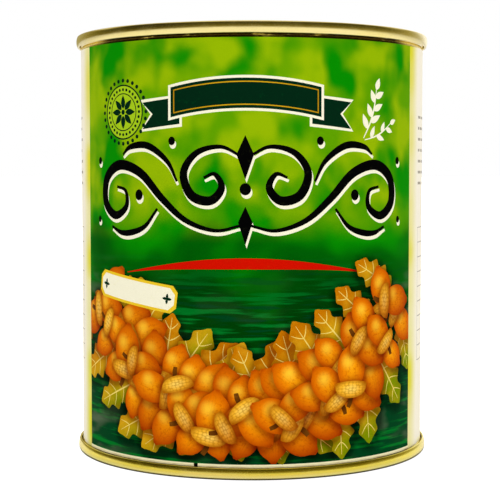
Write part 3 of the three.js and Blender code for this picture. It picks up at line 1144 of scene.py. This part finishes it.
def makeLabel():
    grid = printSheet()
    corners, loops = [], []
    for shape in shapes:
        loops.append(list(range(len(corners), len(corners) + len(shape["points"]))))
        corners += [Vector(p) for p in shape["points"]]
    cut = delaunay_2d_cdt(corners + grid, [], loops, 0, label["joinWithin"][0], True)
    # the first shape is the sheet itself, so nothing printed reaches past its border
    kept = [(face, max(held)) for face, held in zip(cut[2], cut[5]) if 0 in held]
    used = sorted({corner for face, top in kept for corner in face})
    renumbered = {old: new for new, old in enumerate(used)}
    spots = [cut[0][corner] for corner in used]
    kept = [([renumbered[corner] for corner in face], top) for face, top in kept]
    backSpots, backFaces = backing(spots, [face for face, top in kept])
    places = [wrapped(p.x, p.y) for p in spots]
    places += [wrapped(p.x, p.y, label["paper"]) for p in backSpots]
    shapes.append({**shapes[0], "ink": "paperBack"})
    kept += [(face, len(shapes) - 1) for face in backFaces]
    faces, tops = zip(*kept)
    mesh = bpy.data.meshes.new("labelWrap")
    mesh.from_pydata(places, [], faces)
    inks = list(dict.fromkeys(shape["ink"] for shape in shapes))
    for ink in inks:
        mesh.materials.append(inkMaterials[ink])
    mesh.polygons.foreach_set("material_index", [inks.index(shapes[top]["ink"]) for top in tops])
    mesh.polygons.foreach_set("use_smooth", [True] * len(faces))
    here = np.array(spots + backSpots)[np.concatenate(faces)]
    layers = np.repeat(tops, [len(face) for face in faces])
    middle, turn, reach, tone, casts = (
        np.array([shape[key] for shape in shapes], float)[layers]
        for key in ("middle", "turn", "reach", "tone", "casts"))
    x, y = (here - middle).T
    c, s = np.cos(turn), np.sin(turn)
    size = reach.mean(axis=1)
    maps = {
        "sheet": here / 100,
        "motif": np.stack((x * c + y * s, y * c - x * s), axis=1) / reach,
        "light": np.stack((x, y), axis=1) / size[:, None],
    }
    for name, values in maps.items():
        mesh.uv_layers.new(name=name)
        mesh.uv_layers[name].data.foreach_set("uv", values.ravel())
    isBare = np.array([shape["ink"] == "creamGround" for shape in shapes])[layers]
    marks = {
        "tone": tone + casts * (shade["fall"][0] * x + shade["fall"][1] * y) / size,
        "shade": np.where(isBare, 0.0, shadeOn(here, layers)),
    }
    for name, values in marks.items():
        mesh.attributes.new(name, "FLOAT", "CORNER")
        mesh.attributes[name].data.foreach_set("value", values)
    mesh.validate()
    mesh.set_sharp_from_angle(angle=radians(can["sharpFrom"]))
    piece = newObject("labelWrap", mesh)
    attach(piece, "root")
    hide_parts("label")


inkMaterials = {}


def makeInk(name, paint, shadow=(0.03, 0.03, 0.02), roughness=0.45, gloss=0.005):
    # printed paper: paint gives the colour from the maps of the sheet and of each motif
    material, tree, shader = newMaterial(name)
    maps = {key: addNode(tree, "ShaderNodeUVMap", uv_map=key).outputs[0]
            for key in ("sheet", "motif", "light")}
    for key in ("tone", "shade"):
        maps[key] = addNode(tree, "ShaderNodeAttribute", attribute_name=key).outputs["Fac"]
    colour = mix(maps["shade"], paint(maps), shadow, "MULTIPLY")
    fibre = noiseOn(maps["sheet"], 260.0, 3.0, 0.6)
    mottle = mix(fibre, (0.93, 0.93, 0.93), (1.06, 1.06, 1.06))
    patchy = noiseOn(maps["sheet"], 9.0, 3.0)
    fill(shader, {
        "Base Color": mix(1.0, colour, mottle, "MULTIPLY"),
        "Roughness": ease(patchy, 0.3, 0.7, roughness - 0.05, roughness + 0.07),
        "Specular IOR Level": gloss,
    })
    addBump(shader, (noiseOn(maps["sheet"], 5.0), 0.15, 0.0004), (fibre, 0.10, 0.00003))
    inkMaterials[name] = material


def over(colour, vector, scale, detail, roughness, span, other):
    # another colour over a first one, in patches of a noise that ease in over a span
    return mix(ease(noiseOn(vector, scale, detail, roughness), *span), colour, other)


def flat(colour, worn):
    # an even ink that lets a little of the paper through
    return lambda maps: over(colour, maps["sheet"], 60.0, 4.0, 0.7, (0.55, 0.8), worn)


flatInks = {  # each colour, and where it is worn thin
    "creamInk": ((0.94, 0.90, 0.68), (0.90, 0.86, 0.56)),
    "blackInk": ((0.001, 0.001, 0.001), (0.012, 0.014, 0.004)),
    "redInk": ((0.62, 0.005, 0.0), (0.50, 0.02, 0.0)),
    "greenInk": ((0.001, 0.020, 0.007), (0.0, 0.045, 0.010)),
    "limeInk": ((0.36, 0.56, 0.01), (0.28, 0.50, 0.02)),
    "goldInk": ((0.84, 0.56, 0.02), (0.88, 0.66, 0.10)),
    "greyInk": ((0.42, 0.38, 0.30), (0.56, 0.52, 0.42)),
    "ribInk": ((0.90, 0.70, 0.16), (0.80, 0.58, 0.10)),
    "stemInk": ((0.15, 0.045, 0.003), (0.26, 0.10, 0.008)),
    "paperBack": ((0.78, 0.74, 0.66), (0.70, 0.65, 0.56)),
}

greens = {
    "lime": (0.29, 0.46, 0.001),
    "leaf": (0.11, 0.34, 0.0),
    "grass": (0.002, 0.25, 0.0),
    "deep": (0.0, 0.105, 0.001),
    "dusk": (0.0, 0.045, 0.0015),
    "night": (0.0, 0.052, 0.012),
    "blade": (0.0, 0.18, 0.018),
    "mist": (0.085, 0.125, 0.068),
    "upwards": [(0.0, "night"), (0.15, "night"), (0.28, "dusk"), (0.37, "dusk"), (0.47, "deep"),
                (0.56, "grass"), (0.70, "leaf"), (0.90, "leaf"), (1.0, "grass")],
}


def paintGround(maps):
    # blurred foliage: bright and yellowish above, dark below, with long blades of grass at the foot
    sheetMap, parts = maps["sheet"], xyz(maps["motif"])
    height = parts["Y"]
    drift = maths("SUBTRACT", noiseOn(sheetMap, 3.6), 0.5)
    level = maths("MULTIPLY_ADD", drift, 1.1, height)
    level = maths("MULTIPLY_ADD", level, 0.5, 0.5, clamp=True)
    colour = rampOf(level, [(place, greens[name]) for place, name in greens["upwards"]], "EASE")
    upper = ease(height, 0.04, 0.3)
    lower = ease(height, 0.05, -0.4)
    bright = ease(noiseOn(sheetMap, (8.1, 8.55, 9.0), 1.8, 0.45), 0.34, 0.62)
    patch = ease(noiseOn(sheetMap, (8.0, 5.2, 8.0), 1.8, 0.45, 0.2), 0.46, 0.66)
    blades = noiseOn(sheetMap, (4.5, 60.0, 1.0), 3.0, 0.55, 0.06)
    haze = ease(noiseOn(sheetMap, (6.0, 16.0, 1.0)), 0.48, 0.66)
    rim = ease(maths("ABSOLUTE", parts["X"]), 0.6, 0.95, 0.08)
    for share, name in ((times(bright, upper), "lime"), (times(patch, upper), "grass"),
                        (times(ease(blades, 0.5, 0.62), lower), "blade"),
                        (times(ease(blades, 0.44, 0.36), lower), "night"),
                        (times(haze, rim, lower), "mist")):
        colour = mix(share, colour, greens[name])
    return colour


creams = {
    "paper": ((0.97, 0.90, 0.70), (0.95, 0.89, 0.77)),
    "footLightFrom": 0.016,  # painted light: below this the sheet is painted brighter and yellower, making up for the seam's shade
    "foot": (1.0, 0.94, 0.60),
    # painted shade: tan at the very foot of the sheet, beside the seam
    "paintedShade": (0.50, 0.34, 0.10),
    "speck": (0.30, 0.24, 0.12),
    "stripe": (0.76, 0.70, 0.035),
}


def creamPaper(maps):
    return mix(noiseOn(maps["sheet"], 6.0, 3.0), *creams["paper"])


def paintCream(maps):
    height = xyz(maps["sheet"])["Y"]
    # painted light and painted shade beside the bottom seam: brighter and yellower at the foot, then tan at
    # the very edge
    colour = mix(ease(height, creams["footLightFrom"], 0.010), creamPaper(maps), creams["foot"])
    paintedShade = ease(noiseOn(maps["sheet"], (22.0, 160.0, 1.0), 4.0, 0.7), 0.42, 0.66, 0.25, 0.85)
    colour = mix(times(paintedShade, ease(height, 0.0065, 0.001)), colour, creams["paintedShade"])
    return over(colour, maps["sheet"], 130.0, 2.0, 0.5, (0.74, 0.78), creams["speck"])


def paintStripe(maps):
    # yellow beside the green, fading into the cream, stronger in some places than in others
    drift = ease(noiseOn(maps["sheet"], (1.0, 5.0, 1.0), 1.0, 0.4), 0.38, 0.60, 0.5, 1.0)
    full = times(ease(xyz(maps["motif"])["X"], 0.95, 0.1), drift)
    return mix(full, creamPaper(maps), creams["stripe"])


garland = {
    "nut": [(0.0, (0.96, 0.38, 0.004)), (0.35, (0.90, 0.30, 0.002)), (0.62, (0.78, 0.20, 0.001)),
            (0.86, (0.62, 0.12, 0.0)), (1.0, (0.42, 0.06, 0.0))],  # from its middle out
    "nutStreak": (0.50, 0.13, 0.0),
    "nutMottle": (0.60, 0.12, 0.0),
    "nutLight": (1.0, 0.62, 0.035),
    "lightFrom": (0.22, -0.34, 0.0),
    "cup": [(0.0, (1.0, 0.72, 0.14)), (0.6, (0.92, 0.47, 0.025)), (1.0, (0.42, 0.12, 0.001))],
    "cupGroove": (0.48, 0.19, 0.004),
    "leaf": [(0.15, (0.20, 0.26, 0.0)), (0.5, (0.62, 0.34, 0.006)), (0.85, (0.55, 0.17, 0.0))],  # by tone
    "leafEdge": (0.25, 0.08, 0.0),
    "leafCloud": (0.78, 0.42, 0.015),
    "darkTint": (0.70, 0.46, 0.40),
    "lightTint": (1.16, 1.22, 1.25),
    "shadow": (0.28, 0.09, 0.02),
}


inkSettings = {
    "blackInk": {"roughness": 0.38},
    "greenInk": {"roughness": 0.38},
    "ribInk": {"shadow": garland["shadow"]},
    "stemInk": {"shadow": garland["shadow"]},
    "paperBack": {"roughness": 0.7, "gloss": 0.3},
}


def toned(colour, tone):
    tint = mix(ease(tone, -0.3, 1.3), garland["darkTint"], garland["lightTint"])
    return mix(1.0, colour, tint, "MULTIPLY")


def paintNut(maps):
    # rounded by darker rims, with fine streaks down it and a highlight at the upper left
    colour = rampOf(lengthOf(maps["motif"]), garland["nut"])
    streaks = noiseOn(maps["motif"], (9.0, 0.8, 1.0), 3.0, 0.6)
    colour = mix(ease(streaks, 0.5, 0.75, 0.0, 0.35), colour, garland["nutStreak"])
    colour = over(colour, maps["sheet"], 105.0, 4.0, 0.65, (0.50, 0.64, 0.0, 0.6), garland["nutMottle"])
    aim = follow("ShaderNodeVectorMath", {0: maps["light"], 1: garland["lightFrom"]}, operation="ADD")[0]
    colour = mix(ease(lengthOf(aim), 0.5, 0.0, 0.0, 0.7), colour, garland["nutLight"])
    return toned(colour, maps["tone"])


def paintCup(maps):
    # scales in rows, lighter in the middle
    scales = {"Vector": stretched(maps["motif"], (4.6, 3.4, 1.0)), "Scale": 1.0, "Randomness": 0.4}
    groove = ease(follow("ShaderNodeTexVoronoi", scales)["Distance"], 0.34, 0.66, 0.0, 0.62)
    colour = rampOf(lengthOf(maps["motif"]), garland["cup"])
    return toned(mix(groove, colour, garland["cupGroove"]), maps["tone"])


def paintLeaf(maps):
    side = maths("ABSOLUTE", xyz(maps["motif"])["X"])
    colour = rampOf(maps["tone"], garland["leaf"])
    colour = mix(ease(side, 0.15, 1.0, 0.0, 0.6), colour, garland["leafEdge"])
    return over(colour, maps["sheet"], 22.0, 3.0, 0.6, (0.45, 0.75, 0.0, 0.4), garland["leafCloud"])


def makeInks():
    for name, paint in (("creamGround", paintCream), ("greenGround", paintGround),
                        ("stripeInk", paintStripe)):
        makeInk(name, paint)
    for name, paint in (("nutInk", paintNut), ("cupInk", paintCup), ("leafInk", paintLeaf)):
        makeInk(name, paint, shadow=garland["shadow"])
    for name, colours in flatInks.items():
        makeInk(name, flat(*colours), **inkSettings.get(name, {}))


makeInks()
makeLabel()
print("label printed and wrapped")

flesh = {
    "detail": 2,
    "unevenness": 0.25,
    "unevenScale": 210.0,
    "weld": 0.002,
    "footToCrown": [
        (0.0, (0.60, 0.38, 0.14)), (0.12, (0.88, 0.66, 0.30)), (0.42, (0.86, 0.56, 0.16)),
        (0.62, (0.84, 0.43, 0.07)), (0.80, (0.76, 0.30, 0.03)), (1.0, (0.66, 0.22, 0.02))],
    "mottle": (0.56, 0.20, 0.02),
    "tones": (0.82, 1.1),  # the darkest and the lightest mushroom
    "roughness": (0.28, 0.48),
    "seed": 31,
}


def makeFleshTree():
    # rounds the blanks off and roughens them
    tree, given = newShapeTree("mushroomFlesh", blanks="Geometry", detail="Int", unevenness="Float",
                               unevenScale="Float", weld="Float", finish="Material")
    blanks = {"Geometry": given["blanks"], "Distance": given["weld"]}
    welded = follow("GeometryNodeMergeByDistance", blanks)[0]
    fine = follow("GeometryNodeSubdivisionSurface", {"Mesh": welded, "Level": given["detail"]})[0]
    waves = follow("ShaderNodeTexNoise", {"Scale": given["unevenScale"], "Detail": 2.0})[0]
    swing = times(maths("SUBTRACT", waves, 0.75), given["unevenness"])
    facing = addNode(tree, "GeometryNodeInputNormal").outputs[0]
    moved = {"Geometry": fine, "Offset": scaled(facing, swing)}
    endShapeTree(follow("GeometryNodeSetPosition", moved)[0], given["finish"])
    return tree


def makeFlesh():
    material, tree, shader = newMaterial("mushroomFlesh")
    place = objectPlace(tree)
    rise, tone = (addNode(tree, "ShaderNodeAttribute", attribute_name=name).outputs["Fac"]
                  for name in ("rise", "tone"))
    waver = times(maths("SUBTRACT", noiseOn(place, 260.0, 3.0, 0.6), 0.5), 0.22)
    colour = rampOf(maths("ADD", rise, waver), flesh["footToCrown"])
    colour = over(colour, place, 620.0, 4.0, 0.6, (0.4, 0.75, 0.0, 0.5), flesh["mottle"])
    fill(shader, {
        "Base Color": scaled(colour, ease(tone, 0.0, 1.0, *flesh["tones"])),
        "Roughness": ease(noiseOn(place, 340.0, 3.0), 0.35, 0.7, *flesh["roughness"]),
        "Coat Weight": 0.3,
        "Coat Roughness": 0.15,
    })
    pits, fibres = noiseOn(place, 260.0, 3.0), noiseOn(place, 900.0, 3.0, 0.6)
    addBump(shader, (pits, 0.3, 0.0004), (fibres, 0.2, 0.0001))
    return material


def makeChanterelles():
    # every mushroom in one mesh, marked with its height from foot to crown and a tone of its own
    names = sorted(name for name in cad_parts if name.startswith("chanterelle"))
    draw = random.Random(flesh["seed"])
    places, faces, rises, tones = [], [], [], []
    for name in names:
        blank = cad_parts[name]
        spots = [blank.matrix_world @ v.co for v in blank.data.vertices]
        middle = sum(spots, Vector()) / len(spots)
        foot = max(spots, key=lambda p: (p - middle).length)
        axis = (middle - foot).normalized()
        heights = [(p - foot).dot(axis) for p in spots]
        faces += [[len(places) + i for i in face.vertices] for face in blank.data.polygons]
        places += spots
        rises += [height / max(heights) for height in heights]
        tones += [draw.random()] * len(spots)
    mesh = bpy.data.meshes.new("chanterelleBlanks")
    mesh.from_pydata(places, [], faces)
    for name, values in (("rise", rises), ("tone", tones)):
        mesh.attributes.new(name, "FLOAT", "POINT")
        mesh.attributes[name].data.foreach_set("value", values)
    piece = shaped("chanterelles", mesh, makeFleshTree(), detail=flesh["detail"], weld=flesh["weld"] * mm,
                   unevenness=flesh["unevenness"] * mm, unevenScale=flesh["unevenScale"], finish=makeFlesh())
    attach(piece, "root")
    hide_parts(*names)


makeChanterelles()
print("chanterelles made")
